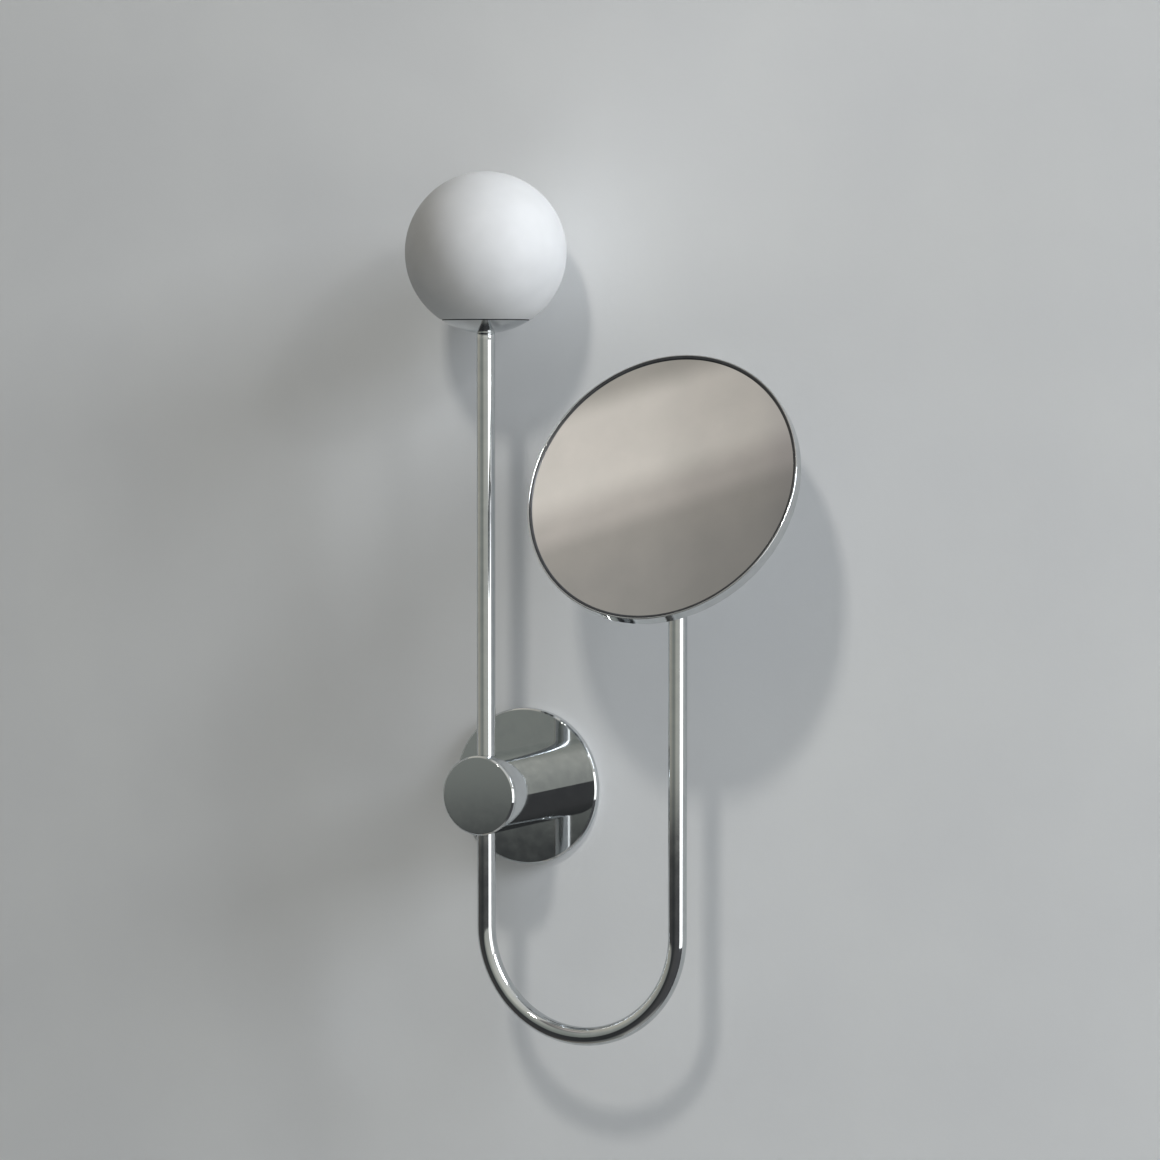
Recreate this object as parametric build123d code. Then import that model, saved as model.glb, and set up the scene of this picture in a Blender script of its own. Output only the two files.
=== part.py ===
"""Wall-mounted swinging shaving mirror with a globe lamp, in millimetres.

The origin is the centre of the wall plate's back, on the wall. +Z is up, +X is to the right
and the object stands out from the wall towards -Y. A hollow tube bent to a U passes upright
through the arm and swings in it: its long leg carries the lamp and its short leg the mirror.
"""

from build123d import *
from math import cos, degrees, radians, sin, sqrt
import os

# ---------------------------------------------------------------- driving dimensions
# The bent tube.
TUBE_R = 7.0
TUBE_WALL = 1.5
LEG_SPACING = 158.0
BEND_BELOW_ARM = 99.0
SWING_RANGE = 160.0

# The arm and its end cap.
ARM_R = 30.0
ARM_WALL = 4.0
ARM_FACE_FROM_WALL = 86.0
CAP_T = 4.0
EDGE_CHAMFER = 1.2
GRUB_FROM_PLATE = 6.0
GRUB_SPREAD = 40.0
GRUB_SUNK = 0.4

# The wall plate and the bracket behind it.
PLATE_R = 60.0
PLATE_T = 6.0
PLATE_WALL = 1.5
BRACKET_T = 2.0
BRACKET_RIM_GAP = 4.5
BOSS_L = 16.0
BOSS_WALL = 4.5
WALL_HOLE_SPACING = 80.0
WALL_HOLE_R = 2.5
WALL_GASKET_W = 3.0
WALL_GASKET_T = 2.0
CABLE_HOLE_R = 6.5
CABLE_HOLE_Z = 11.0
GROMMET_WALL = 2.5
GROMMET_LIP_W = 2.0
GROMMET_LIP_T = 1.5

# The swivel inside the arm.
BLOCK_L = 28.0
BLOCK_SKIN = 0.6
BLOCK_WEB = 1.5
POCKET_HALF_H = 13.0
POCKET_SIDE_GAP = 1.3
CAP_SCREW_SKIN = 1.0
RING_WALL = 2.0
RING_H = 8.0
RING_GAP = 0.4
BUSH_WALL = 1.2
BUSH_END_BELOW_BLOCK = 0.2
O_RING_H = 2.0
THRUST_WASHER_T = 0.8
STOP_SCREW_THROUGH = 1.0

# The lamp.
GLOBE_R = 60.5
GLOBE_WALL = 3.0
GLOBE_ABOVE_ARM = 407.0
GLOBE_CUT_DROP = 50.0
GLOBE_LIP_ROUND = 0.8
GLOBE_GASKET_T = 0.8
DISH_WALL = 1.5
DISH_HUB_R = 12.0
DISH_HUB_H = 9.0
DISH_SOCKET = 2.5
COLLAR_GAP = 2.4
COLLAR_WALL = 1.5
COLLAR_H = 12.0
CLIP_W = 6.0
CLIP_T = 0.8
CLIP_L = 7.8
CLIP_REACH = 7.0
CLIP_SCREW_DROP = 2.5
CLIP_COUNT = 3
NIPPLE_L = 36.0
NIPPLE_IN_TUBE = 20.0
NIPPLE_WALL = 1.8
NIPPLE_END_GAP = 1.0
NIPPLE_NUT_AF = 17.0
NIPPLE_NUT_H = 3.0
HOLDER_R = 12.0
HOLDER_H = 22.0
BULB_R = 8.0
BULB_L = 38.0
BULB_BASE_H = 8.0
BULB_PIN_R = 0.6
BULB_PIN_SPACING = 9.0
BULB_PIN_L = 7.0
BULB_WALL = 0.8
LED_R = 4.0

# The leads inside.
LEAD_R = 2.0
LEAD_EXIT_Z = 6.0
LEAD_IN_TERMINAL = 1.0
LEAD_SHORT_OF_BLOCK = 1.0
LEAD_END_SUNK = 0.3
LEAD_BELOW_NIPPLE = 2.0
SUPPLY_BEND_R = 5.0
LAMP_BEND_R = 4.0
LEAD_SLOT_SIDE_GAP = 0.5
LEAD_SLOT_END_GAP = 1.0

# The mirror.
MIRROR_R = 105.5
MIRROR_DEPTH = 10.0
MIRROR_TILT = 26.0
MIRROR_FACE_FROM_PIVOT = 34.5
PIVOT_ABOVE_ARM = 220.5
PAN_WALL = 1.2
PAN_BACK = 1.5
PAN_ROUND = 1.0
BEZEL_W = 2.0
BEZEL_T = 1.2
BEZEL_SET_BACK = 0.2
GLASS_T = 4.0
GLASS_EDGE_GAP = 0.3
PAD_T = 1.0
PAD_INSET = 4.0

# The mirror's knuckle.
TONGUE_HALF = 4.0
EYE_R = 6.5
CHEEK_T = 4.5
CHEEK_ROOT = 1.0
TILT_WASHER_T = 0.6
HINGE_BOLT_R = 3.0
HINGE_HEAD_R = 5.0
HINGE_HEAD_H = 3.0
HINGE_NUT_AF = 10.0
HINGE_NUT_H = 4.0
HINGE_SPRING_T = 1.0
FLANGE_R = 20.0
FLANGE_T = 3.0
FLANGE_SCREW_PCD = 28.0
FLANGE_SCREW_COUNT = 3
FORK_BASE_R = 11.0
FORK_BASE_TOP = 13.0
FORK_BASE_H = 8.4
SWIVEL_WASHER_T = 0.6
STEM_R = 3.5
INSERT_L = 30.0
INSERT_RIM_T = 2.0
STEM_SPRING_T = 2.0
STEM_NUT_AF = 8.8
STEM_NUT_H = 5.0
SWIVEL_RANGE = 90.0
SWIVEL_PIN_R = 0.8
SWIVEL_PIN_IN = 1.5
SWIVEL_PIN_OUT = 3.0

# Screws.
M3_R = 1.5
M3_HEAD_R = 2.6
M3_HEAD_H = 2.2
M4_R = 2.0
M4_HEAD_R = 3.5
M4_HEAD_H = 2.4
M2_R = 1.1
M2_HEAD_R = 1.9
M2_HEAD_H = 1.3
HEX_KEY_AF = 2.0
HEX_KEY_DEPTH = 1.6
END_GAP = 0.5

# Terminal block.
TERMINAL_W = 24.0
TERMINAL_H = 13.0
TERMINAL_D = 12.0
TERMINAL_DROP = 1.5
TERMINAL_PITCH = 8.0
WIRE_HOLE_R = 2.2
TERMINAL_SCREW_SUNK = 1.0
SCREW_SLOT_W = 0.6
SCREW_SLOT_DEPTH = 0.6

# Clearances: a shaft in its bearing, pieces that slide together, and a free gap.
RUN = 0.05
SLIDE = 0.1
LOOSE = 0.2
FREE = 0.4
STOP_GAP = 0.1

# ---------------------------------------------------------------- derived places
ARM_BORE_R = ARM_R - ARM_WALL
TUBE_BORE_R = TUBE_R - TUBE_WALL
CAP_BACK = ARM_FACE_FROM_WALL - CAP_T
BLOCK_R = ARM_BORE_R - SLIDE
BLOCK_BACK = CAP_BACK - BLOCK_L
RING_R = TUBE_R + RING_WALL
CHAMBER_R = RING_R + RING_GAP
AXIS_OUT = CAP_BACK - BLOCK_SKIN - CHAMBER_R
BUSH_R = TUBE_R + RUN + BUSH_WALL
STOP_REACH = RING_R + M3_HEAD_H
POCKET_HALF_W = STOP_REACH + POCKET_SIDE_GAP
CAP_SCREW_X = min(POCKET_HALF_W + BLOCK_WEB, BLOCK_R - 2 * M4_HEAD_R - 2 * LOOSE) + M4_HEAD_R + LOOSE
STOP_TURN = 90 + SWING_RANGE / 2
RING_LOW = -POCKET_HALF_H + THRUST_WASHER_T
STOP_SCREW_Z = RING_LOW + RING_H / 2
BOSS_R = ARM_BORE_R - LOOSE
BOSS_BORE_R = BOSS_R - BOSS_WALL
BOSS_FRONT = BRACKET_T + BOSS_L
BRACKET_R = PLATE_R - PLATE_WALL - BRACKET_RIM_GAP
GRUB_OUT = PLATE_T + GRUB_FROM_PLATE
BLOCK_GRUB_OUT = BLOCK_BACK + GRUB_FROM_PLATE
GRUBS = ((GRUB_OUT, 180 - GRUB_SPREAD), (GRUB_OUT, 180 + GRUB_SPREAD), (BLOCK_GRUB_OUT, 180))
EARTH_X = -2 * CABLE_HOLE_R
TERMINAL_FRONT = BRACKET_T + TERMINAL_D
TERMINAL_LOW = -TERMINAL_DROP - TERMINAL_H
TERMINAL_Z = -TERMINAL_DROP - TERMINAL_H / 2
TERMINAL_XS = (-TERMINAL_PITCH, 0, TERMINAL_PITCH)
WIRE_OUT = BRACKET_T + TERMINAL_D / 2

GLOBE_CUT_Z = GLOBE_ABOVE_ARM - GLOBE_CUT_DROP
DISH_RIM_Z = GLOBE_CUT_Z - GLOBE_GASKET_T
DISH_BOTTOM_Z = GLOBE_ABOVE_ARM - GLOBE_R
HUB_TOP_Z = DISH_BOTTOM_Z + DISH_HUB_H
LONG_LEG_TOP = DISH_BOTTOM_Z + DISH_SOCKET
NIPPLE_R = TUBE_BORE_R - RUN
NIPPLE_LOW = LONG_LEG_TOP - NIPPLE_IN_TUBE
NIPPLE_TOP = NIPPLE_LOW + NIPPLE_L
HOLDER_LOW = HUB_TOP_Z + NIPPLE_NUT_H
HOLDER_TOP = HOLDER_LOW + HOLDER_H
GLOBE_BORE_R = GLOBE_R - GLOBE_WALL
COLLAR_R = sqrt(GLOBE_BORE_R**2 - GLOBE_CUT_DROP**2) - COLLAR_GAP
COLLAR_TOP = GLOBE_CUT_Z + COLLAR_H
CLIP_LOW = GLOBE_ABOVE_ARM - sqrt(GLOBE_BORE_R**2 - (COLLAR_R + CLIP_REACH) ** 2) + FREE
CLIP_SCREW_UP = CLIP_L - CLIP_SCREW_DROP

FORK_UNDER = FORK_BASE_TOP + FORK_BASE_H
INSERT_TOP = PIVOT_ABOVE_ARM - FORK_UNDER - SWIVEL_WASHER_T
SHORT_LEG_TOP = INSERT_TOP - INSERT_RIM_T
INSERT_LOW = SHORT_LEG_TOP - INSERT_L
CHEEK_IN = TONGUE_HALF + TILT_WASHER_T
CHEEK_OUT = CHEEK_IN + CHEEK_T
SWIVEL_PIN_AT = (STEM_R + TUBE_R) / 2
BEZEL_R = MIRROR_R - PAN_WALL - RUN
GLASS_R = MIRROR_R - PAN_WALL - GLASS_EDGE_GAP
GLASS_FRONT = -BEZEL_SET_BACK - BEZEL_T
GLASS_BACK = GLASS_FRONT - GLASS_T
PAD_BACK = GLASS_BACK - PAD_T
PAN_FLOOR = PAN_BACK - MIRROR_DEPTH
PIVOT_DEPTH = -MIRROR_FACE_FROM_PIVOT
FLANGE_BACK = -MIRROR_DEPTH - FLANGE_T

SWING_AXIS = (0, -AXIS_OUT)
SHORT_AXIS = (LEG_SPACING, -AXIS_OUT)
FACING = Vector(0, -cos(radians(MIRROR_TILT)), sin(radians(MIRROR_TILT)))
PIVOT = Vector(LEG_SPACING, -AXIS_OUT, PIVOT_ABOVE_ARM)
MIRROR_PLACE = Plane(PIVOT + FACING * MIRROR_FACE_FROM_PIVOT, x_dir=(1, 0, 0), z_dir=FACING).location
PIVOT_PLACE = Pos(PIVOT.X, PIVOT.Y, PIVOT.Z)


# ---------------------------------------------------------------- helpers
def upright(radius, low, high, at=(0, 0)):
    """A round bar along Z between two heights."""
    return Pos(at[0], at[1], (low + high) / 2) * Cylinder(radius, high - low)


def outward(radius, near, far, x=0, z=0):
    """A round bar along Y between two distances from the wall."""
    return Pos(x, -(near + far) / 2, z) * Rot(90, 0, 0) * Cylinder(radius, far - near)


def sideways(radius, left, right):
    """A round bar along X through the origin."""
    return Pos((left + right) / 2, 0, 0) * Rot(0, 90, 0) * Cylinder(radius, right - left)


def block(x, y, z):
    """A box between two limits on each axis."""
    middle = Pos((x[0] + x[1]) / 2, (y[0] + y[1]) / 2, (z[0] + z[1]) / 2)
    return middle * Box(x[1] - x[0], y[1] - y[0], z[1] - z[0])


def tube(outer, inner, low, high, at=(0, 0)):
    """A hollow bar along Z."""
    return upright(outer, low, high, at) - upright(inner, low, high, at)


def hexagon(across_flats, low, high):
    """A six-sided bar along Z."""
    outline = RegularPolygon(across_flats / 2, 6, major_radius=False)
    return Pos(0, 0, low) * extrude(outline, high - low)


def swung(part, turn=STOP_TURN):
    """Turns a piece made along +X about the swing axis, to where it points at rest."""
    return Pos(0, -AXIS_OUT, 0) * Rot(0, 0, turn) * part


def around(count, part):
    """Copies of a piece, evenly spaced about Z."""
    return [Rot(0, 0, i * 360 / count) * part for i in range(count)]


def below(height):
    """Everything near the lamp that lies below a height."""
    side = 4 * GLOBE_R
    return Pos(0, -AXIS_OUT, height - side / 2) * Box(side, side, side)


def ball(radius):
    """A ball about the globe's centre."""
    return Pos(0, -AXIS_OUT, GLOBE_ABOVE_ARM) * Sphere(radius)


def pan_head_screw(shank, head, head_height, length):
    """A screw along Z: its shank goes down from Z=0 and its head stands on Z=0."""
    screw = upright(shank, -length, 0) + upright(head, 0, head_height)
    return screw - hexagon(HEX_KEY_AF * shank / M4_R, head_height / 2, head_height)


# ---------------------------------------------------------------- wall side
def wall_bracket():
    """The steel flange that is screwed to the wall, with the boss that the arm slides on."""
    part = outward(BRACKET_R, 0, BRACKET_T) + outward(BOSS_R, 0, BOSS_FRONT)
    part -= outward(BOSS_BORE_R, BRACKET_T, BOSS_FRONT)
    for side in (-1, 1):
        part -= outward(WALL_HOLE_R, 0, BRACKET_T, x=side * WALL_HOLE_SPACING / 2)
    part -= outward(CABLE_HOLE_R, 0, BRACKET_T, z=CABLE_HOLE_Z)
    part -= outward(M4_R, 0, BRACKET_T, x=EARTH_X, z=CABLE_HOLE_Z)
    return part - outward(M3_R, 0, BRACKET_T, x=TERMINAL_PITCH / 2, z=TERMINAL_Z)


def wall_gasket():
    """The soft ring that keeps splashed water out from behind the plate."""
    outer = PLATE_R - PLATE_WALL - SLIDE
    return outward(outer, 0, WALL_GASKET_T) - outward(outer - WALL_GASKET_W, 0, WALL_GASKET_T)


def wall_plate():
    """The polished round cover, a shallow cup with its open side to the wall."""
    part = outward(PLATE_R, 0, PLATE_T)
    part = chamfer(part.edges().group_by(Axis.Y)[0], EDGE_CHAMFER)
    part -= outward(PLATE_R - PLATE_WALL, 0, PLATE_T - PLATE_WALL)
    return part - outward(ARM_BORE_R, 0, PLATE_T)


def cable_grommet():
    """The rubber sleeve where the supply cable comes out of the wall."""
    part = outward(CABLE_HOLE_R - RUN, 0, BRACKET_T, z=CABLE_HOLE_Z)
    lip_front = BRACKET_T + GROMMET_LIP_T
    part += outward(CABLE_HOLE_R + GROMMET_LIP_W, BRACKET_T, lip_front, z=CABLE_HOLE_Z)
    return part - outward(CABLE_HOLE_R - GROMMET_WALL, 0, lip_front, z=CABLE_HOLE_Z)


def earth_screw():
    """The screw that takes the earth wire."""
    screw = pan_head_screw(M4_R - RUN, M4_HEAD_R, M4_HEAD_H, BRACKET_T)
    return Pos(EARTH_X, -BRACKET_T, CABLE_HOLE_Z) * Rot(90, 0, 0) * screw


def terminal_block():
    """The insulated block where the supply meets the lamp's lead, screw heads to the front."""
    across = (-TERMINAL_W / 2, TERMINAL_W / 2)
    part = block(across, (-TERMINAL_FRONT, -BRACKET_T), (TERMINAL_LOW, -TERMINAL_DROP))
    for x in TERMINAL_XS:
        part -= upright(WIRE_HOLE_R, TERMINAL_LOW, -TERMINAL_DROP, (x, -WIRE_OUT))
        part -= outward(M3_HEAD_R + LOOSE, WIRE_OUT, TERMINAL_FRONT, x, TERMINAL_Z)
    return part - outward(M3_R, BRACKET_T, TERMINAL_FRONT, TERMINAL_PITCH / 2, TERMINAL_Z)


def terminal_screws():
    """The three clamping screws of the terminal block, each with a screwdriver slot."""
    head_front = TERMINAL_FRONT - TERMINAL_SCREW_SUNK
    heads = [outward(M3_HEAD_R, WIRE_OUT + WIRE_HOLE_R, head_front, x, TERMINAL_Z) for x in TERMINAL_XS]
    slot_z = (TERMINAL_Z - SCREW_SLOT_W / 2, TERMINAL_Z + SCREW_SLOT_W / 2)
    slot = block((-TERMINAL_W, TERMINAL_W), (-head_front, SCREW_SLOT_DEPTH - head_front), slot_z)
    return Part() + [head - slot for head in heads]


def terminal_fixing_screw():
    """The long screw that holds the terminal block to the bracket."""
    screw = pan_head_screw(M2_R, M2_HEAD_R, M2_HEAD_H, TERMINAL_FRONT - END_GAP)
    return Pos(TERMINAL_PITCH / 2, -TERMINAL_FRONT, TERMINAL_Z) * Rot(90, 0, 0) * screw


def supply_lead():
    """The insulated lead from the terminal block to the swivel."""
    start = (0, -WIRE_OUT, -TERMINAL_DROP - LEAD_IN_TERMINAL)
    corner = (0, -WIRE_OUT, LEAD_EXIT_Z)
    end = (0, LEAD_SHORT_OF_BLOCK - BLOCK_BACK, LEAD_EXIT_Z)
    path = FilletPolyline(start, corner, end, radius=SUPPLY_BEND_R)
    return sweep(Plane(start, z_dir=(0, 0, 1)) * Circle(LEAD_R), path=path)


# ---------------------------------------------------------------- arm
def arm_body():
    """The polished tube that stands out from the wall and holds the swivel."""
    part = outward(ARM_R, PLATE_T, CAP_BACK) - outward(ARM_BORE_R, PLATE_T, CAP_BACK)
    part -= upright(TUBE_R + FREE, -ARM_R, ARM_R, SWING_AXIS)
    for out, turn in GRUBS:
        part -= grub_place(out, turn) * upright(M4_R + RUN, 0, ARM_R)
    return part


def grub_place(out, turn):
    """Turns a piece made upright above the arm's axis to a grub screw's place."""
    return Pos(0, -out, 0) * Rot(0, turn, 0)


def arm_grub_screws():
    """Three sunk screws under the arm: two grip the bracket's boss, one the bearing block."""
    screws = []
    for (out, turn), inner in zip(GRUBS, (BOSS_R, BOSS_R, BLOCK_R)):
        screw = upright(M4_R, inner, ARM_R - GRUB_SUNK)
        screw -= hexagon(HEX_KEY_AF, ARM_R - GRUB_SUNK - HEX_KEY_DEPTH, ARM_R)
        tip = Pos(0, 0, inner) * Sphere(M4_R / 2)
        screws.append(grub_place(out, turn) * (screw - tip))
    return Part() + screws


def arm_end_cap():
    """The flat disc that closes the front of the arm."""
    part = outward(ARM_R, CAP_BACK, ARM_FACE_FROM_WALL)
    part = chamfer(part.edges().group_by(Axis.Y)[0], EDGE_CHAMFER)
    for side in (-1, 1):
        part -= outward(M4_R + RUN, CAP_BACK, CAP_BACK + CAP_T - CAP_SCREW_SKIN, x=side * CAP_SCREW_X)
    return part


def bearing_block():
    """The slug inside the arm that holds the bushes, with the pocket that the stop screw sweeps."""
    part = outward(BLOCK_R, BLOCK_BACK, CAP_BACK - RUN)
    part -= upright(BUSH_R + RUN, -ARM_R, ARM_R, SWING_AXIS)
    part -= upright(CHAMBER_R, -POCKET_HALF_H, POCKET_HALF_H, SWING_AXIS)
    past_axis = radians(90 - SWING_RANGE / 2)
    stop = M3_HEAD_R * cos(past_axis) - RING_R * sin(past_axis) + STOP_GAP
    sides = (-POCKET_HALF_W, POCKET_HALF_W)
    part -= block(sides, (-AXIS_OUT - stop, -BLOCK_BACK), (-POCKET_HALF_H, POCKET_HALF_H))
    for side in (-1, 1):
        part -= outward(M4_R + LOOSE, BLOCK_BACK, CAP_BACK, x=side * CAP_SCREW_X)
        part -= outward(M4_HEAD_R + LOOSE, BLOCK_BACK, BLOCK_BACK + M4_HEAD_H, x=side * CAP_SCREW_X)
    return part


def cap_screws():
    """The two screws that pull the end cap on from behind."""
    length = CAP_BACK - BLOCK_BACK - M4_HEAD_H + CAP_T - CAP_SCREW_SKIN - END_GAP
    screw = Rot(-90, 0, 0) * pan_head_screw(M4_R, M4_HEAD_R, M4_HEAD_H, length)
    return Part() + [Pos(side * CAP_SCREW_X, -BLOCK_BACK - M4_HEAD_H, 0) * screw for side in (-1, 1)]


def bush(low, high):
    """A plain bearing sleeve round the long leg."""
    return tube(BUSH_R, TUBE_R + RUN, low, high, SWING_AXIS)


def bush_end():
    """How far from the arm's axis a flat-ended bush may reach inside the block."""
    return sqrt(BLOCK_R**2 - BUSH_R**2) - BUSH_END_BELOW_BLOCK


def upper_bush():
    """The bearing sleeve at the top of the arm."""
    return bush(POCKET_HALF_H + O_RING_H, bush_end())


def lower_bush():
    """The bearing sleeve at the bottom of the arm."""
    return bush(-bush_end(), -POCKET_HALF_H - O_RING_H)


def friction_rings():
    """Two squeezed rubber rings that hold the swing where it is left."""
    upper = bush(POCKET_HALF_H, POCKET_HALF_H + O_RING_H)
    return upper + bush(-POCKET_HALF_H - O_RING_H, -POCKET_HALF_H)


def thrust_washer():
    """The slippery washer that takes the weight of all that swings."""
    return tube(RING_R, TUBE_R + RUN, -POCKET_HALF_H, RING_LOW, SWING_AXIS)


# ---------------------------------------------------------------- swinging tube
def u_bar(radius, long_top, short_top):
    """A round bar bent to a U: two upright legs and a half circle below them."""
    start = (*SWING_AXIS, long_top)
    bend_start = (*SWING_AXIS, -BEND_BELOW_ARM)
    lowest = (LEG_SPACING / 2, -AXIS_OUT, -BEND_BELOW_ARM - LEG_SPACING / 2)
    bend_end = (*SHORT_AXIS, -BEND_BELOW_ARM)
    legs = (Line(start, bend_start), Line(bend_end, (*SHORT_AXIS, short_top)))
    path = Wire([legs[0], ThreePointArc(bend_start, lowest, bend_end), legs[1]])
    return sweep(Plane(start, z_dir=(0, 0, -1)) * Circle(radius), path=path)


def u_tube():
    """The polished hollow tube, with a hole for the stop screw and a slot for the lead."""
    part = u_bar(TUBE_R, LONG_LEG_TOP, SHORT_LEG_TOP)
    part -= u_bar(TUBE_BORE_R, LONG_LEG_TOP, SHORT_LEG_TOP)
    part -= swung(Pos(0, 0, STOP_SCREW_Z) * sideways(M3_R, 0, RING_R))
    half_w = LEAD_R + LEAD_SLOT_SIDE_GAP
    half_h = LEAD_R + LEAD_SLOT_END_GAP
    slot = block((0, RING_R), (-half_w, half_w), (LEAD_EXIT_Z - half_h, LEAD_EXIT_Z + half_h))
    return part - swung(slot)


def stop_ring():
    """The ring pinned to the tube inside the arm, which carries the tube's weight."""
    part = tube(RING_R, TUBE_R + RUN, RING_LOW, RING_LOW + RING_H, SWING_AXIS)
    return part - swung(Pos(0, 0, STOP_SCREW_Z) * sideways(M3_R, 0, RING_R))


def stop_screw():
    """The screw that pins the ring; its head meets the pocket's walls at each end of the swing."""
    length = RING_R - TUBE_BORE_R + STOP_SCREW_THROUGH
    screw = pan_head_screw(M3_R - RUN, M3_HEAD_R, M3_HEAD_H, length)
    return swung(Pos(RING_R, 0, STOP_SCREW_Z) * Rot(0, 90, 0) * screw)


def lamp_lead():
    """The lamp's lead, down inside the long leg and out through the slot."""
    out = TUBE_R - LEAD_END_SUNK
    turn = radians(STOP_TURN)
    start = (0, -AXIS_OUT, NIPPLE_TOP - LEAD_BELOW_NIPPLE)
    corner = (0, -AXIS_OUT, LEAD_EXIT_Z)
    end = (out * cos(turn), -AXIS_OUT + out * sin(turn), LEAD_EXIT_Z)
    path = FilletPolyline(start, corner, end, radius=LAMP_BEND_R)
    return sweep(Plane(start, z_dir=(0, 0, -1)) * Circle(LEAD_R), path=path)


# ---------------------------------------------------------------- lamp
def lamp_dish():
    """The polished dish that closes the globe from below, with its hub and clip collar."""
    shell = (ball(GLOBE_R) - ball(GLOBE_R - DISH_WALL)) & below(DISH_RIM_Z)
    inside = upright(DISH_HUB_R, DISH_BOTTOM_Z, HUB_TOP_Z, SWING_AXIS)
    inside += tube(COLLAR_R, COLLAR_R - COLLAR_WALL, DISH_BOTTOM_Z, COLLAR_TOP, SWING_AXIS)
    part = shell + (inside & ball(GLOBE_R))
    part -= upright(TUBE_R + RUN, DISH_BOTTOM_Z - DISH_WALL, LONG_LEG_TOP, SWING_AXIS)
    part -= upright(TUBE_BORE_R, LONG_LEG_TOP, HUB_TOP_Z, SWING_AXIS)
    hole = sideways(M2_R, 0, COLLAR_R)
    return part - [clip_place() * turned for turned in around(CLIP_COUNT, hole)]


def clip_place():
    """The height of the clip screws, on the lamp's axis."""
    return Pos(0, -AXIS_OUT, CLIP_LOW + CLIP_SCREW_UP)


def clip_screws():
    """The small screws that hold the spring clips to the collar."""
    screw = pan_head_screw(M2_R - RUN, M2_HEAD_R, M2_HEAD_H, CLIP_T + COLLAR_WALL)
    screw = Pos(COLLAR_R + CLIP_T, 0, 0) * Rot(0, 90, 0) * screw
    return Part() + [clip_place() * turned for turned in around(CLIP_COUNT, screw)]


def globe_clips():
    """Three springy clips that press the globe down on its gasket."""
    half = (-CLIP_W / 2, CLIP_W / 2)
    clip = block((COLLAR_R, COLLAR_R + CLIP_T), half, (-CLIP_SCREW_UP, CLIP_SCREW_DROP))
    clip += block((COLLAR_R, COLLAR_R + CLIP_REACH), half, (-CLIP_SCREW_UP, CLIP_T - CLIP_SCREW_UP))
    clip -= sideways(M2_R, 0, COLLAR_R + CLIP_REACH)
    return Part() + [clip_place() * turned for turned in around(CLIP_COUNT, clip)]


def globe_gasket():
    """The soft ring between the globe's edge and the dish."""
    drop = GLOBE_ABOVE_ARM - DISH_RIM_Z
    outer = sqrt(GLOBE_R**2 - drop**2) - LOOSE
    inner = sqrt((GLOBE_R - DISH_WALL) ** 2 - drop**2) + LOOSE
    return tube(outer, inner, DISH_RIM_Z, GLOBE_CUT_Z, SWING_AXIS)


def globe_glass():
    """The opal glass globe, open below."""
    part = ball(GLOBE_R) - ball(GLOBE_R - GLOBE_WALL) - below(GLOBE_CUT_Z)
    rim = part.edges().group_by(Axis.Z)[0]
    return fillet(rim, GLOBE_LIP_ROUND)


def lamp_nipple():
    """The hollow threaded rod that joins the tube, the dish and the lamp holder."""
    return tube(NIPPLE_R, NIPPLE_R - NIPPLE_WALL, NIPPLE_LOW, NIPPLE_TOP, SWING_AXIS)


def nipple_nut():
    """The nut that clamps the dish on the tube's end."""
    part = Pos(0, -AXIS_OUT, 0) * hexagon(NIPPLE_NUT_AF, HUB_TOP_Z, HOLDER_LOW)
    return part - upright(NIPPLE_R + RUN, HUB_TOP_Z, HOLDER_LOW, SWING_AXIS)


def lamp_holder():
    """The ceramic holder for a two-pin bulb, screwed on the nipple."""
    part = upright(HOLDER_R, HOLDER_LOW, HOLDER_TOP, SWING_AXIS)
    part = chamfer(part.edges().group_by(Axis.Z)[-1], EDGE_CHAMFER)
    part -= upright(NIPPLE_R + RUN, HOLDER_LOW, NIPPLE_TOP + NIPPLE_END_GAP, SWING_AXIS)
    for side in (-1, 1):
        at = (side * BULB_PIN_SPACING / 2, -AXIS_OUT)
        part -= upright(BULB_PIN_R + LOOSE, HOLDER_TOP - BULB_PIN_L - END_GAP, HOLDER_TOP, at)
    return part


def bulb_base():
    """The bulb's ceramic foot with its two pins."""
    part = upright(BULB_R, HOLDER_TOP, HOLDER_TOP + BULB_BASE_H, SWING_AXIS)
    for side in (-1, 1):
        at = (side * BULB_PIN_SPACING / 2, -AXIS_OUT)
        part += upright(BULB_PIN_R, HOLDER_TOP - BULB_PIN_L, HOLDER_TOP, at)
    return part


def capsule(radius, length, low):
    """A bar with a round top."""
    part = upright(radius, low, low + length - radius, SWING_AXIS)
    return part + Pos(0, -AXIS_OUT, low + length - radius) * Sphere(radius)


def bulb_glass():
    """The bulb's frosted capsule."""
    low = HOLDER_TOP + BULB_BASE_H
    return capsule(BULB_R, BULB_L, low) - capsule(BULB_R - BULB_WALL, BULB_L - BULB_WALL, low)


def bulb_led_post():
    """The post of light-emitting chips inside the capsule."""
    low = HOLDER_TOP + BULB_BASE_H
    return upright(LED_R, low, low + BULB_L - 2 * BULB_R, SWING_AXIS)


# ---------------------------------------------------------------- mirror swivel
def swivel_insert():
    """The plug in the short leg's top that the fork turns in."""
    part = upright(TUBE_R, SHORT_LEG_TOP, INSERT_TOP, SHORT_AXIS)
    part += upright(TUBE_BORE_R - RUN, INSERT_LOW, SHORT_LEG_TOP, SHORT_AXIS)
    part -= upright(STEM_R + RUN, INSERT_LOW, INSERT_TOP, SHORT_AXIS)
    return part - swivel_pin_bar(0, INSERT_TOP - SWIVEL_PIN_IN, INSERT_TOP)


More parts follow.
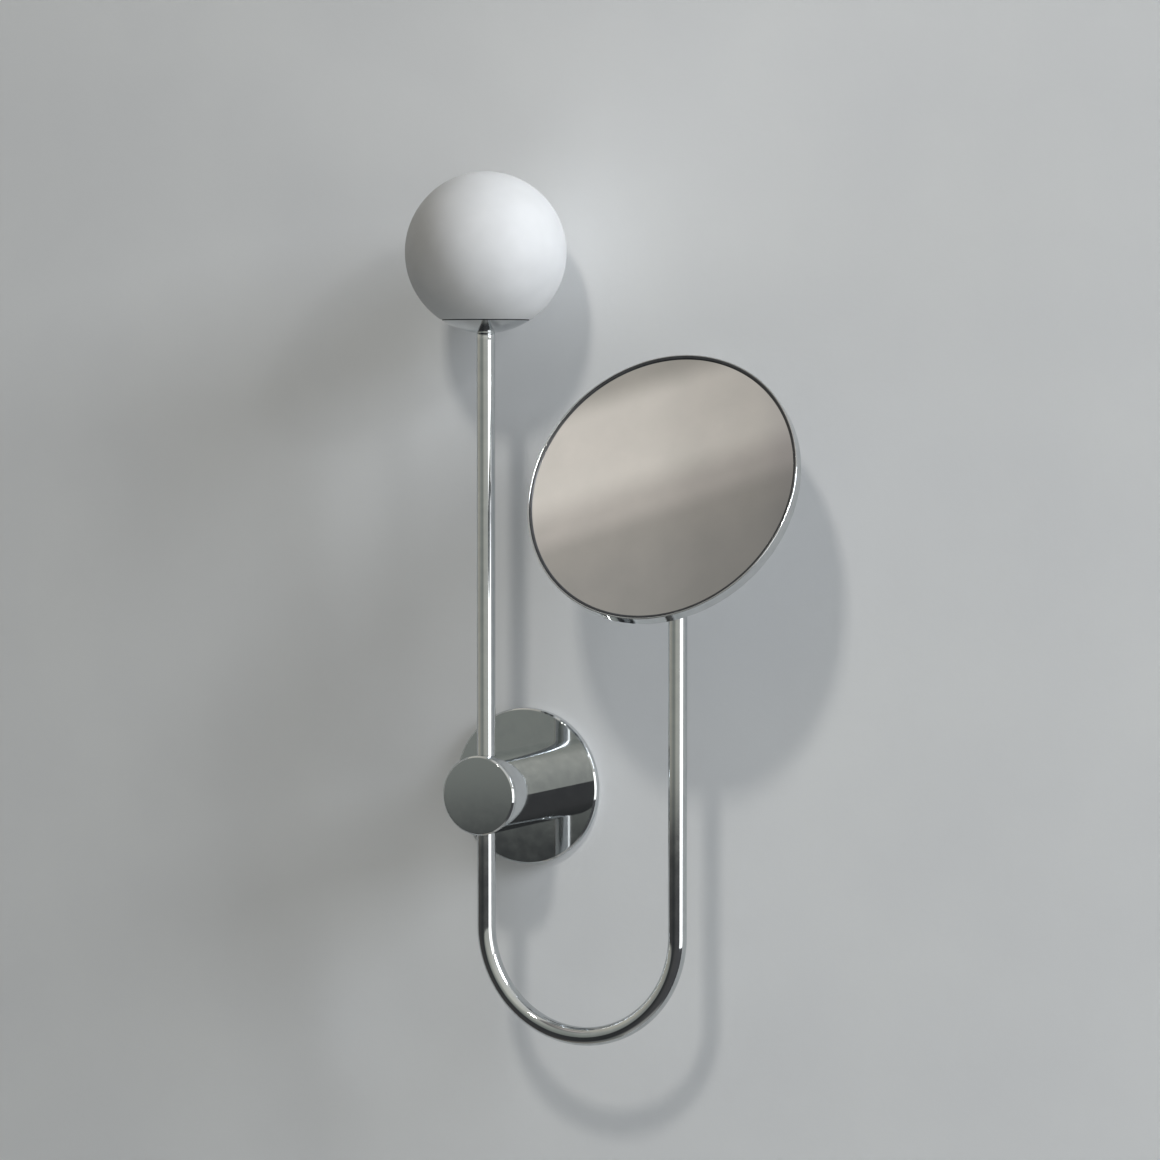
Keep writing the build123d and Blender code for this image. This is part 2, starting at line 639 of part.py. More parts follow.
def swivel_pin_bar(gap, low, high):
    """A small upright bar behind the swivel's axis."""
    return upright(SWIVEL_PIN_R + gap, low, high, (LEG_SPACING, -AXIS_OUT + SWIVEL_PIN_AT))


def swivel_stop_pin():
    """The pin that stops the fork's turn at both ends."""
    return swivel_pin_bar(0, INSERT_TOP - SWIVEL_PIN_IN, INSERT_TOP + SWIVEL_PIN_OUT)


def swivel_washer():
    """The slippery washer under the fork."""
    part = tube(TUBE_R, STEM_R + RUN, INSERT_TOP, INSERT_TOP + SWIVEL_WASHER_T, SHORT_AXIS)
    return part - swivel_pin_bar(LOOSE, INSERT_TOP, INSERT_TOP + SWIVEL_WASHER_T)


def swivel_fork():
    """The fork that holds the mirror's tongue, with the stem that it turns on."""
    z = PIVOT_ABOVE_ARM
    part = upright(FORK_BASE_R, z - FORK_UNDER, z - FORK_BASE_TOP, SHORT_AXIS)
    for side in (-1, 1):
        x = sorted((side * CHEEK_IN, side * CHEEK_OUT))
        cheek = block(x, (-EYE_R, EYE_R), (-FORK_BASE_TOP - CHEEK_ROOT, 0)) + sideways(EYE_R, *x)
        part += PIVOT_PLACE * cheek
    part += upright(STEM_R, INSERT_LOW - STEM_SPRING_T - STEM_NUT_H, z - FORK_UNDER, SHORT_AXIS)
    part -= PIVOT_PLACE * sideways(HINGE_BOLT_R + RUN, -FORK_BASE_R, FORK_BASE_R)
    return part - swivel_slot()


def swivel_slot():
    """The curved slot under the fork that the stop pin runs in."""
    half = SWIVEL_PIN_R + LOOSE
    turn = SWIVEL_RANGE + 2 * degrees(half / SWIVEL_PIN_AT)
    low = -FORK_UNDER - LOOSE
    high = -FORK_UNDER + SWIVEL_PIN_OUT - SWIVEL_WASHER_T + LOOSE
    outline = Plane.XZ * Pos(SWIVEL_PIN_AT, (low + high) / 2) * Rectangle(2 * half, high - low)
    return PIVOT_PLACE * Rot(0, 0, 90 - turn / 2) * revolve(outline, Axis.Z, turn)


def stem_spring():
    """The spring washers that load the swivel from below."""
    low = INSERT_LOW - STEM_SPRING_T
    return tube(TUBE_BORE_R - FREE, STEM_R + RUN, low, INSERT_LOW, SHORT_AXIS)


def stem_nut():
    """The lock nut on the fork's stem."""
    high = INSERT_LOW - STEM_SPRING_T
    part = Pos(LEG_SPACING, -AXIS_OUT, 0) * hexagon(STEM_NUT_AF, high - STEM_NUT_H, high)
    return part - upright(STEM_R + RUN, high - STEM_NUT_H, high, SHORT_AXIS)


def hinge_bolt():
    """The bolt through the fork that the mirror tilts on."""
    part = sideways(HINGE_BOLT_R, -CHEEK_OUT, CHEEK_OUT + HINGE_SPRING_T + HINGE_NUT_H)
    head = sideways(HINGE_HEAD_R, -CHEEK_OUT - HINGE_HEAD_H, -CHEEK_OUT)
    return PIVOT_PLACE * (part + head)


def hinge_spring():
    """The dished washer that keeps the tilt stiff."""
    x = (CHEEK_OUT, CHEEK_OUT + HINGE_SPRING_T)
    return PIVOT_PLACE * (sideways(HINGE_HEAD_R, *x) - sideways(HINGE_BOLT_R + RUN, *x))


def hinge_nut():
    """The lock nut on the hinge bolt."""
    low = CHEEK_OUT + HINGE_SPRING_T
    part = Rot(0, 90, 0) * hexagon(HINGE_NUT_AF, low, low + HINGE_NUT_H)
    return PIVOT_PLACE * (part - sideways(HINGE_BOLT_R + RUN, low, low + HINGE_NUT_H))


def tilt_washers():
    """Two friction washers between the fork's cheeks and the tongue."""
    washers = []
    for side in (-1, 1):
        x = sorted((side * TONGUE_HALF, side * CHEEK_IN))
        washers.append(PIVOT_PLACE * (sideways(EYE_R, *x) - sideways(HINGE_BOLT_R + RUN, *x)))
    return Part() + washers


# ---------------------------------------------------------------- mirror head
# These are made about Z with the mirror's face at Z=0, then put in place.
def mirror_knuckle():
    """The tongue that hangs on the hinge bolt, with the flange that carries the mirror."""
    part = upright(FLANGE_R, FLANGE_BACK, -MIRROR_DEPTH)
    part = chamfer(part.edges().group_by(Axis.Z)[0], EDGE_CHAMFER)
    half = (-TONGUE_HALF, TONGUE_HALF)
    part += block(half, (-EYE_R, EYE_R), (PIVOT_DEPTH, FLANGE_BACK))
    part += Pos(0, 0, PIVOT_DEPTH) * sideways(EYE_R, *half)
    part -= Pos(0, 0, PIVOT_DEPTH) * sideways(HINGE_BOLT_R + RUN, *half)
    return MIRROR_PLACE * (part - flange_screw_holes(FLANGE_BACK, -MIRROR_DEPTH))


def flange_screw_holes(low, high):
    """The screw holes through the flange, the pan and the stiffener."""
    hole = upright(M4_R + RUN, low, high, (0, FLANGE_SCREW_PCD / 2))
    return around(FLANGE_SCREW_COUNT, hole)


def knuckle_screws():
    """The screws that hold the knuckle on the mirror's back."""
    screw = pan_head_screw(M4_R, M4_HEAD_R, M4_HEAD_H, -FLANGE_BACK + PAD_BACK)
    screw = Pos(0, FLANGE_SCREW_PCD / 2, FLANGE_BACK) * Rot(180, 0, 0) * screw
    return MIRROR_PLACE * (Part() + around(FLANGE_SCREW_COUNT, screw))


def mirror_pan():
    """The spun metal pan that holds the mirror, rounded at the back."""
    part = upright(MIRROR_R, -MIRROR_DEPTH, 0)
    part = fillet(part.edges().group_by(Axis.Z)[0], PAN_ROUND)
    part -= upright(MIRROR_R - PAN_WALL, PAN_FLOOR, 0)
    part = fillet(part.edges().group_by(Axis.Z)[-1], PAN_WALL / 4)
    return MIRROR_PLACE * (part - flange_screw_holes(-MIRROR_DEPTH, PAN_FLOOR))


def stiffener_plate():
    """The stiff disc inside the pan that the knuckle's screws bite into."""
    part = upright(GLASS_R, PAN_FLOOR, PAD_BACK)
    return MIRROR_PLACE * (part - flange_screw_holes(PAN_FLOOR, PAD_BACK))


def glass_pad():
    """The thin foam pad that the glass is bonded to."""
    return MIRROR_PLACE * upright(GLASS_R - PAD_INSET, PAD_BACK, GLASS_BACK)


def mirror_glass():
    """The silvered glass disc."""
    return MIRROR_PLACE * upright(GLASS_R, GLASS_BACK, GLASS_FRONT)


def mirror_bezel():
    """The dark moulded ring pressed into the pan's mouth over the glass's edge."""
    part = upright(BEZEL_R, GLASS_FRONT, -BEZEL_SET_BACK)
    part -= upright(BEZEL_R - BEZEL_W, GLASS_FRONT, -BEZEL_SET_BACK)
    return MIRROR_PLACE * chamfer(part.edges().group_by(Axis.Z)[-1], BEZEL_T / 4)


MAKERS = (
    wall_bracket,
    wall_gasket,
    wall_plate,
    cable_grommet,
    earth_screw,
    terminal_block,
    terminal_screws,
    terminal_fixing_screw,
    supply_lead,
    arm_body,
    arm_grub_screws,
    arm_end_cap,
    bearing_block,
    cap_screws,
    upper_bush,
    lower_bush,
    friction_rings,
    thrust_washer,
    u_tube,
    stop_ring,
    stop_screw,
    lamp_lead,
    lamp_dish,
    clip_screws,
    globe_clips,
    globe_gasket,
    globe_glass,
    lamp_nipple,
    nipple_nut,
    lamp_holder,
    bulb_base,
    bulb_glass,
    bulb_led_post,
    swivel_insert,
    swivel_stop_pin,
    swivel_washer,
    swivel_fork,
    stem_spring,
    stem_nut,
    hinge_bolt,
    hinge_spring,
    hinge_nut,
    tilt_washers,
    mirror_knuckle,
    knuckle_screws,
    mirror_pan,
    stiffener_plate,
    glass_pad,
    mirror_glass,
    mirror_bezel,
)

os.makedirs("parts", exist_ok=True)
for make in MAKERS:
    export_step(make(), f"parts/{make.__name__}.step")
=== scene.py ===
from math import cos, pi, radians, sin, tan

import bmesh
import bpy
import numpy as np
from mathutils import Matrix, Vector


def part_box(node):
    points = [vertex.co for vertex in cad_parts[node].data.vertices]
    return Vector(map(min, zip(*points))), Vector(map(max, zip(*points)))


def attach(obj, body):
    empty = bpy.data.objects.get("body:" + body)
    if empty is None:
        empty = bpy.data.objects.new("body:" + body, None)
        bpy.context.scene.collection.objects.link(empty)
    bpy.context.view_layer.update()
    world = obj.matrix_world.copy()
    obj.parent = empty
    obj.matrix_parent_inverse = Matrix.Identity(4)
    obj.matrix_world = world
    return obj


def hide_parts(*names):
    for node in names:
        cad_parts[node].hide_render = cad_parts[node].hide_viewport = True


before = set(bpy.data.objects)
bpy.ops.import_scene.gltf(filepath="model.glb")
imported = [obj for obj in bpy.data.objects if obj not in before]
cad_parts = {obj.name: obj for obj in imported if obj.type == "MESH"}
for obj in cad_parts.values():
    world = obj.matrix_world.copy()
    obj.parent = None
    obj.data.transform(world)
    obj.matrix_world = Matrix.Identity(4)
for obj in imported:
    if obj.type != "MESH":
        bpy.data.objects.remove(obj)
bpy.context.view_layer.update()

# %% [markdown]
# # A wall mirror on a swinging tube, with a globe lamp
#
# The real object is a bathroom fitting: a round wall plate, a short thick arm, and a slim tube bent
# to a U that passes upright through the arm. The long leg carries an opal glass globe and the short
# leg a round shaving mirror. The fitted, moving pieces come from the CAD model, which is loaded
# above and never moved. What this file adds is the look: smooth surfaces for the pieces that show,
# a real finish on every piece, and a quiet room for the metal to reflect.

MM = 0.001

# %% [markdown]
# ## The camera
#
# A product is best seen from some metres away through a long lens: parallel edges stay parallel and
# a round plate stays round. This camera stands three metres off, a little to the right of the
# wall's own direction and almost level with the arm, and looks at the middle of the object.

# %% Camera
SENSOR_MM = 36
TARGET = Vector((62.9, -40.0, 161.5)) * MM
CAMERA_TURN = radians(25.7)
CAMERA_RISE = radians(3.0)
CAMERA_DISTANCE = 3.008
FRAME_WIDTH = 0.8723


def towards(turn, rise):
    """The unit vector turned right of the wall's front (-Y) by turn, and raised above level by rise."""
    return Vector((sin(turn) * cos(rise), -cos(turn) * cos(rise), sin(rise)))


def aimed(data, name, place, at):
    """A camera or light at a place, with its own -Z axis pointing at a point and its top kept up."""
    thing = bpy.data.objects.new(name, data)
    bpy.context.scene.collection.objects.link(thing)
    gaze = (Vector(at) - Vector(place)).to_track_quat("-Z", "Y")
    thing.matrix_world = Matrix.Translation(place) @ gaze.to_matrix().to_4x4()
    return thing


camera_data = bpy.data.cameras.new("camera")
camera_data.sensor_width = SENSOR_MM
camera_data.lens = SENSOR_MM * CAMERA_DISTANCE / FRAME_WIDTH
camera_place = TARGET + towards(CAMERA_TURN, CAMERA_RISE) * CAMERA_DISTANCE
camera = aimed(camera_data, "camera", camera_place, TARGET)
bpy.context.scene.camera = camera
bpy.context.scene.view_settings.view_transform = "Standard"
print("lens in mm", round(camera_data.lens, 1))

# %% [markdown]
# ## Helpers for materials
#
# Colours are easiest to think of as the hex values of a paint program, but light is added up in
# linear numbers, so one function turns the first into the second. Another adds one node with its
# settings and its links, and the rest of a material reads as a short list.

# %% Colour and node helpers
def linear(colour):
    """A hex colour such as "C4C8CA" as linear red, green and blue, and a solid alpha."""
    part = np.array([int(colour[i:i + 2], 16) for i in (0, 2, 4)]) / 255
    return (*np.where(part <= 0.04045, part / 12.92, ((part + 0.055) / 1.055) ** 2.4).tolist(), 1.0)


def add(tree, kind, inputs=None, stops=(), curve="LINEAR", **settings):
    """Adds one node.

    Its inputs are values, or other nodes' sockets to link, and its settings are its own fields. On
    a colour ramp, stops are the places from 0 to 1 with their colours, and curve how they are joined.
    """
    node = tree.nodes.new(kind)
    for name, value in settings.items():
        setattr(node, name, value)
    for name, value in (inputs or {}).items():
        if isinstance(value, bpy.types.NodeSocket):
            tree.links.new(value, node.inputs[name])
        else:
            node.inputs[name].default_value = value
    if stops:
        node.color_ramp.interpolation = curve
        elements = node.color_ramp.elements
        while len(elements) < len(stops):
            elements.new(0.5)
        for element, (place, colour) in zip(elements, stops):
            element.position = place
            element.color = linear(colour)
    return node


def blank(name):
    """A new material with empty nodes, and those nodes."""
    made = bpy.data.materials.new(name)
    made.use_nodes = True
    made.node_tree.nodes.clear()
    return made, made.node_tree


print("mid grey as linear", [round(value, 3) for value in linear("808080")[:3]])

# %% [markdown]
# ## A surface is tones, gloss and relief
#
# Every finish here is built in the same way. A pattern sized in real millimetres drifts between
# two near tones, a pattern changes the gloss, and a pattern raises the surface a few thousandths
# of a millimetre. The pattern is noise, whose values lie mostly between 0.3 and 0.7, so the two
# tones and the two gloss values are set at those ends.

# %% Tones, gloss and relief
NOISE_LOW, NOISE_HIGH = 0.3, 0.7


def mottle(tree, size, detail=2.0, stretch=(1, 1, 1)):
    """Soft blobs of about size mm on the piece's own coordinates, drawn out where stretch is under one."""
    place = add(tree, "ShaderNodeTexCoord").outputs["Object"]
    if stretch != (1, 1, 1):
        place = add(tree, "ShaderNodeMapping", {"Vector": place, "Scale": stretch}).outputs["Vector"]
    blobs = add(tree, "ShaderNodeTexNoise", {"Vector": place, "Scale": 1 / (size * MM), "Detail": detail})
    return blobs.outputs["Fac"]


def surface(tree, tones, gloss, relief=None, inputs=None):
    """The principled shader's output.

    tones are a pattern, a dark and a light colour. gloss is a pattern and two roughness values, or
    one value. relief is a pattern and the height in mm of its white over its black.
    """
    pattern, dark, light = tones
    colour = add(tree, "ShaderNodeValToRGB", {"Fac": pattern}, stops=[(NOISE_LOW, dark), (NOISE_HIGH, light)])
    inputs = {"Base Color": colour.outputs["Color"], "Roughness": gloss, **(inputs or {})}
    if isinstance(gloss, tuple):
        pattern, low, high = gloss
        rough = add(tree, "ShaderNodeMapRange", {"Value": pattern, "From Min": NOISE_LOW,
                                                 "From Max": NOISE_HIGH, "To Min": low, "To Max": high})
        inputs["Roughness"] = rough.outputs["Result"]
    if relief:
        height, depth = relief
        bump = add(tree, "ShaderNodeBump", {"Height": height, "Distance": depth * MM, "Strength": 1.0})
        inputs["Normal"] = bump.outputs["Normal"]
    return add(tree, "ShaderNodeBsdfPrincipled", inputs).outputs["BSDF"]


print("a 9 mm pattern has a scale of", round(1 / (9 * MM), 1))

# %% [markdown]
# ## Polished chrome
#
# Bathroom chrome is brass or steel, polished, then plated with nickel and a thin skin of chromium.
# It gives the eye a cool, near-perfect reflection. What keeps it from looking like a computer's
# chrome is how faintly it is wiped: soft smudges, about the size of a fingertip, that blur the
# reflection a little here and there, and a waviness too shallow to see as a shape.

# %% Polished chrome plate
def polished_chrome():
    """Chromium on polished metal: smudges 9 mm wide change the gloss, and a 35 mm waviness bends it."""
    made, tree = blank("ChromePlatedPolished")
    smudge = mottle(tree, 9, detail=3)
    waves = mottle(tree, 35, detail=0)
    skin = surface(tree, (smudge, "C6C9CB", "CFD2D3"), (smudge, 0.03, 0.07), (waves, 0.01), {"Metallic": 1.0})
    add(tree, "ShaderNodeOutputMaterial", {"Surface": skin})
    return made


# %% [markdown]
# ## Cast chrome
#
# The knuckle behind the mirror is a small zinc casting. Castings are barrel polished before they
# are plated, so their faces are slightly soft and orange-peeled where the tube's are flat.

# %% Cast chrome
def cast_chrome():
    """Chromium over a tumbled casting: rougher than the tube, with a peel of 1.5 mm dimples."""
    made, tree = blank("ChromePlatedCasting")
    peel = mottle(tree, 1.5)
    cloud = mottle(tree, 12)
    skin = surface(tree, (cloud, "BDC0C2", "C9CCCE"), (peel, 0.10, 0.18), (peel, 0.006), {"Metallic": 1.0})
    add(tree, "ShaderNodeOutputMaterial", {"Surface": skin})
    return made


# %% [markdown]
# ## Zinc plate, stainless and spring steel
#
# The bracket and the stiffening disc are pressed sheet, zinc plated and passivated: cool grey, dull,
# with the cloudy crystals that zinc leaves. Screws are stainless, with fine turning marks. Springs
# are a darker, oiled steel. One function with a few values covers them, because they differ only
# in colour, gloss and the grain of their making.

# %% Steels
def steel(name, dark, light, gloss, grain, stretch=(1, 1, 1)):
    """Bare or plated steel: clouds or drawn-out marks, grain mm wide, change its colour and its gloss."""
    made, tree = blank(name)
    marks = mottle(tree, grain, detail=4, stretch=stretch)
    pits = mottle(tree, grain / 4, stretch=stretch)
    skin = surface(tree, (marks, dark, light), (marks, *gloss), (pits, 0.004), {"Metallic": 1.0})
    add(tree, "ShaderNodeOutputMaterial", {"Surface": skin})
    return made


# %% [markdown]
# ## Turned brass
#
# The bearing block, the stop ring and the swivel's plug are turned from brass bar. A lathe tool
# leaves fine rings. They are about a tenth of a millimetre apart, too fine to show, so they are
# drawn four times coarser here. The metal is a warm yellow that browns slightly where it is handled.

# %% Turned brass
LATHE_RINGS = 0.4
WAVES_PER_UNIT = 20


def turned_brass():
    """Lathe-turned brass: bands 0.4 mm apart along the piece's height, over a slow change of colour."""
    made, tree = blank("BrassTurned")
    place = add(tree, "ShaderNodeTexCoord").outputs["Object"]
    bands = add(tree, "ShaderNodeTexWave", {"Vector": place, "Scale": 1 / (LATHE_RINGS * MM) / WAVES_PER_UNIT,
                                            "Distortion": 0.6, "Detail": 2.0}, bands_direction="Z")
    rings = bands.outputs["Fac"]
    browned = mottle(tree, 8)
    tones = (browned, "B9934A", "D2B36B")
    skin = surface(tree, tones, (rings, 0.22, 0.36), (rings, 0.003), {"Metallic": 1.0})
    add(tree, "ShaderNodeOutputMaterial", {"Surface": skin})
    return made


# %% [markdown]
# ## Plastics, rubber, foam and ceramic
#
# Everything that isn't metal or glass here is a moulded or fired solid: acetal bushes, nylon
# terminal blocks, the mirror's dark ring, rubber seals, silicone sheaths, foam and steatite. They
# share one build, a colour that drifts between two near tones and a fine texture, and differ in
# how strongly each shows. Acetal and steatite let a little light in, which softens their edges.

# %% Moulded and fired materials
DRIFT = 12


def moulded(name, dark, light, gloss, grain, depth, glow=0.0):
    """A non-metal: grain mm texture, depth mm deep, colour and gloss drifting, and light let in by glow."""
    made, tree = blank(name)
    texture = mottle(tree, grain, detail=3)
    drift = mottle(tree, grain * DRIFT)
    let_in = {"Subsurface Weight": glow, "Subsurface Radius": (1.0, 0.9, 0.8), "Subsurface Scale": 2 * MM}
    skin = surface(tree, (drift, dark, light), (texture, *gloss), (texture, depth), let_in)
    add(tree, "ShaderNodeOutputMaterial", {"Surface": skin})
    return made


# %% [markdown]
# ## Opal glass
#
# The globe is blown from clear glass over a thin layer of white opal, then etched in acid until it
# is satin. It looks like porcelain: white, with no sharp reflection, and a shadow side that never
# goes black, because light creeps round within the glass. Subsurface scattering does the creeping,
# and a broad soft gloss stands for the etched skin.

# %% Satin opal glass
def satin_opal():
    """Etched opal glass: light wanders a few mm inside it, and the satin skin varies over 25 mm."""
    made, tree = blank("OpalGlassSatinEtched")
    etch = mottle(tree, 25, detail=2)
    pits = mottle(tree, 0.8)
    depths = {"IOR": 1.5, "Subsurface Weight": 0.12, "Subsurface Radius": (1.0, 0.95, 0.85),
              "Subsurface Scale": 3 * MM}
    skin = surface(tree, (etch, "C7C8C8", "CDCECE"), (etch, 0.56, 0.64), (pits, 0.002), depths)
    add(tree, "ShaderNodeOutputMaterial", {"Surface": skin})
    return made


# %% [markdown]
# ## Silvered glass
#
# A mirror is float glass with silver behind it. The silver reflects almost everything, and the
# glass over it adds a trace of green-grey and a second, faint, sharper reflection. A metal with a
# clear coat behaves in the same way and stays clean at every angle.

# %% Silvered float glass
def silvered():
    """Silver seen through 4 mm of float glass, with the haze that a wiping cloth leaves, 30 mm wide."""
    made, tree = blank("GlassFloatSilvered")
    haze = mottle(tree, 30, detail=3)
    glazed = {"Metallic": 1.0, "Coat Weight": 0.4, "Coat Roughness": 0.01, "Coat IOR": 1.52}
    skin = surface(tree, (haze, "DFE2DE", "E6E8E4"), (haze, 0.012, 0.03), inputs=glazed)
    add(tree, "ShaderNodeOutputMaterial", {"Surface": skin})
    return made


# %% [markdown]
# ## Frosted bulb
#
# The bulb is off. Its capsule is clear glass, frosted, so it passes light but hides what is
# inside. The post within carries chips under a yellow phosphor, which is one of the moulded
# materials.

# %% Bulb glass
def frosted_glass():
    """Frosted clear glass: light passes, blurred by an etch whose grain is 0.6 mm."""
    made, tree = blank("GlassFrosted")
    etch = mottle(tree, 0.6)
    clear = {"Transmission Weight": 0.9, "IOR": 1.5}
    skin = surface(tree, (etch, "F0F2F2", "FAFBFB"), (etch, 0.35, 0.5), (etch, 0.003), clear)
    add(tree, "ShaderNodeOutputMaterial", {"Surface": skin})
    return made


# %% [markdown]
# ## Every CAD piece gets its finish
#
# Each CAD node arrives with one material slot, named for its finish in the part's record. A
# dictionary from those names to the materials above is the whole paint shop: one loop dresses all
# the pieces, and the new surfaces further down take from the same dictionary.

# %% The paint shop
FINISHES = {
    "chrome": polished_chrome(),
    "knuckle_chrome": cast_chrome(),
    "zinc_steel": steel("SteelZincPlated", "9DA1A5", "B7BBBF", (0.34, 0.5), 3.0),
    "screw_steel": steel("SteelStainlessTurned", "A5A6A6", "BBBCBC", (0.22, 0.36), 0.8, (1, 1, 0.15)),
    "spring_steel": steel("SteelSpringOiled", "6E6F72", "8B8C8F", (0.28, 0.42), 1.2, (1, 0.2, 1)),
    "brass": turned_brass(),
    "bearing_plastic": moulded("AcetalTurned", "DEDBD1", "EBE8E0", (0.38, 0.5), 0.5, 0.004, glow=0.15),
    "rim_plastic": moulded("StyreneMoulded", "2C2D2F", "36373A", (0.24, 0.34), 0.6, 0.003),
    "seal_rubber": moulded("RubberMoulded", "1B1C1D", "26272A", (0.62, 0.8), 0.7, 0.01),
    "terminal_plastic": moulded("PolyamideMoulded", "D3CFC2", "E0DDD3", (0.42, 0.55), 0.4, 0.004, glow=0.1),
    "lead_sheath": moulded("SiliconeExtruded", "B9B2A6", "C9C3B8", (0.5, 0.62), 0.6, 0.004, glow=0.1),
    "opal_glass": satin_opal(),
    "holder_ceramic": moulded("SteatiteFired", "E2DDD0", "EDE9DF", (0.3, 0.5), 0.9, 0.01, glow=0.1),
    "bulb_glass": frosted_glass(),
    "led": moulded("PhosphorSilicone", "D6AE35", "E8C65A", (0.4, 0.5), 0.8, 0.02, glow=0.2),
    "foam": moulded("PolyethyleneFoam", "3C3D40", "4B4C50", (0.75, 0.9), 0.6, 0.06),
    "silvered_glass": silvered(),
}

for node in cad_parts.values():
    place = node.material_slots[0]
    place.material = FINISHES[place.material.name]
print("finishes", len(FINISHES), "materials on", len(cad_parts), "CAD nodes")

# %% [markdown]
# ## Surfaces from formulas
#
# Most visible pieces are turned on a lathe or bent from tube. Both are one idea: an outline carried
# round an axis or along a line. The points form a grid, worked out as whole arrays, and each square
# of neighbours becomes a face. Where a row shrinks to the axis its points are welded, so that the
# piece is closed and has a clean pole.

# %% A mesh from a grid of points
WELD = 0.001 * MM


def piece(name, points, body, slot, replaces, rows_closed=False):
    """A piece from a grid of points. Columns always close round; rows close too when rows_closed is set."""
    rows, columns = points.shape[:2]
    index = np.arange(rows * columns).reshape(rows, columns)
    if rows_closed:
        index = np.vstack([index, index[:1]])
    index = np.hstack([index, index[:, :1]])
    faces = np.stack([index[:-1, :-1], index[:-1, 1:], index[1:, 1:], index[1:, :-1]], axis=-1)
    mesh = bpy.data.meshes.new(name)
    mesh.from_pydata(points.reshape(-1, 3).tolist(), [], faces.reshape(-1, 4).tolist())
    work = bmesh.new()
    work.from_mesh(mesh)
    bmesh.ops.remove_doubles(work, verts=work.verts, dist=WELD)
    bmesh.ops.recalc_face_normals(work, faces=work.faces)
    work.to_mesh(mesh)
    work.free()
    mesh.shade_smooth()
    mesh.materials.append(FINISHES[slot])
    thing = bpy.data.objects.new(name, mesh)
    bpy.context.scene.collection.objects.link(thing)
    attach(thing, body)
    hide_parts(replaces)
    size = np.ptp(points.reshape(-1, 3), axis=0) / MM
    print(name, "faces", len(mesh.polygons), "size in mm", np.round(size, 2).tolist())


# %% [markdown]
# ### Rounded corners
#
# No real edge is perfectly sharp, and on polished metal the tiny round along each edge is what
# draws the bright line the eye reads as "metal". So an outline is given as corners with the radius
# of each round. Just beyond each arc an extra point holds the flat face flat, because smooth
# shading would otherwise spread the arc's turn over the whole face.

# %% Outlines with rounded corners
def unit(vectors):
    """The same direction, one long."""
    return vectors / np.linalg.norm(vectors, axis=-1, keepdims=True)


def rounded(corners, steps=6, hold=0.25 * MM):
    """An outline through corners of (radius, height, round).

    An arc fits between two runs that meet at an angle when it starts round / tan(half the angle)
    from the corner; its centre lies on the line that halves the angle. Between the arc's ends the
    two radii are blended by sines, which keeps their length.
    """
    corners = np.array(corners, float)
    outline = []
    ends = zip(np.roll(corners, 1, 0)[:, :2], corners, np.roll(corners, -1, 0)[:, :2])
    for before, (*at, bend), after in ends:
        at = np.array(at)
        if bend == 0:
            outline.append(at[None])
            continue
        back, onward = unit(before - at), unit(after - at)
        half = np.arccos(np.clip(back @ onward, -1, 1)) / 2
        reach = bend / tan(half)
        centre = at + unit(back + onward) * bend / sin(half)
        turn = pi - 2 * half
        share = np.linspace(0, 1, steps + 1)[:, None]
        first, last = at + back * reach - centre, at + onward * reach - centre
        arc = centre + (np.sin((1 - share) * turn) * first + np.sin(share * turn) * last) / sin(turn)
        outline += [(at + back * (reach + hold))[None], arc, (at + onward * (reach + hold))[None]]
    return np.vstack(outline)


NEAR_UPRIGHT = 0.9


def turned(outline, centre, axis, columns=192):
    """The outline carried round an axis: centre + radius * (cos a side + sin a other) + height * axis."""
    axis = unit(np.array(axis, float))
    across = (0.0, 0.0, 1.0) if abs(axis[2]) < NEAR_UPRIGHT else (1.0, 0.0, 0.0)
    side = unit(np.cross(axis, across))
    other = np.cross(axis, side)
    angle = np.linspace(0, 2 * pi, columns, endpoint=False)[:, None]
    ring = np.cos(angle) * side + np.sin(angle) * other
    return np.array(centre) + outline[:, :1, None] * ring + outline[:, 1:, None] * axis


square = [(0.01, 0, MM), (0.02, 0, MM), (0.02, 0.01, MM), (0.01, 0.01, MM)]
print("points on a 10 mm square with 1 mm rounds", len(rounded(square)))

# %% [markdown]
# ## The bent tube
#
# The real tube is 14 mm chromed brass, drawn straight and bent round a former to a half circle. Its
# surface is a circle carried along that line. The line is measured by its own length s, so the
# rings of points can be spaced evenly: first down the long leg, then round the bend, then up the
# short leg. The same rings, smaller and walked backwards, make the bore, which closes the shell.

# %% U tube
tube_low, tube_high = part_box("u_tube")
TUBE_R = (tube_high.y - tube_low.y) / 2
TUBE_WALL = 1.5 * MM
EDGE_BREAK = 0.2 * MM
PLUG_COLLAR = 2 * MM
AXIS_Y = (tube_low.y + tube_high.y) / 2
LEG_SPACING = tube_high.x - tube_low.x - 2 * TUBE_R
BEND_R = LEG_SPACING / 2
BEND_Z = tube_low.z + TUBE_R + BEND_R
LONG_LEG = tube_high.z - BEND_Z
SHORT_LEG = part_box("swivel_insert")[1].z - PLUG_COLLAR - BEND_Z
BEND_END = LONG_LEG + pi * BEND_R
RUN = BEND_END + SHORT_LEG
LONG_ROWS, BEND_ROWS, SHORT_ROWS = 59, 120, 49


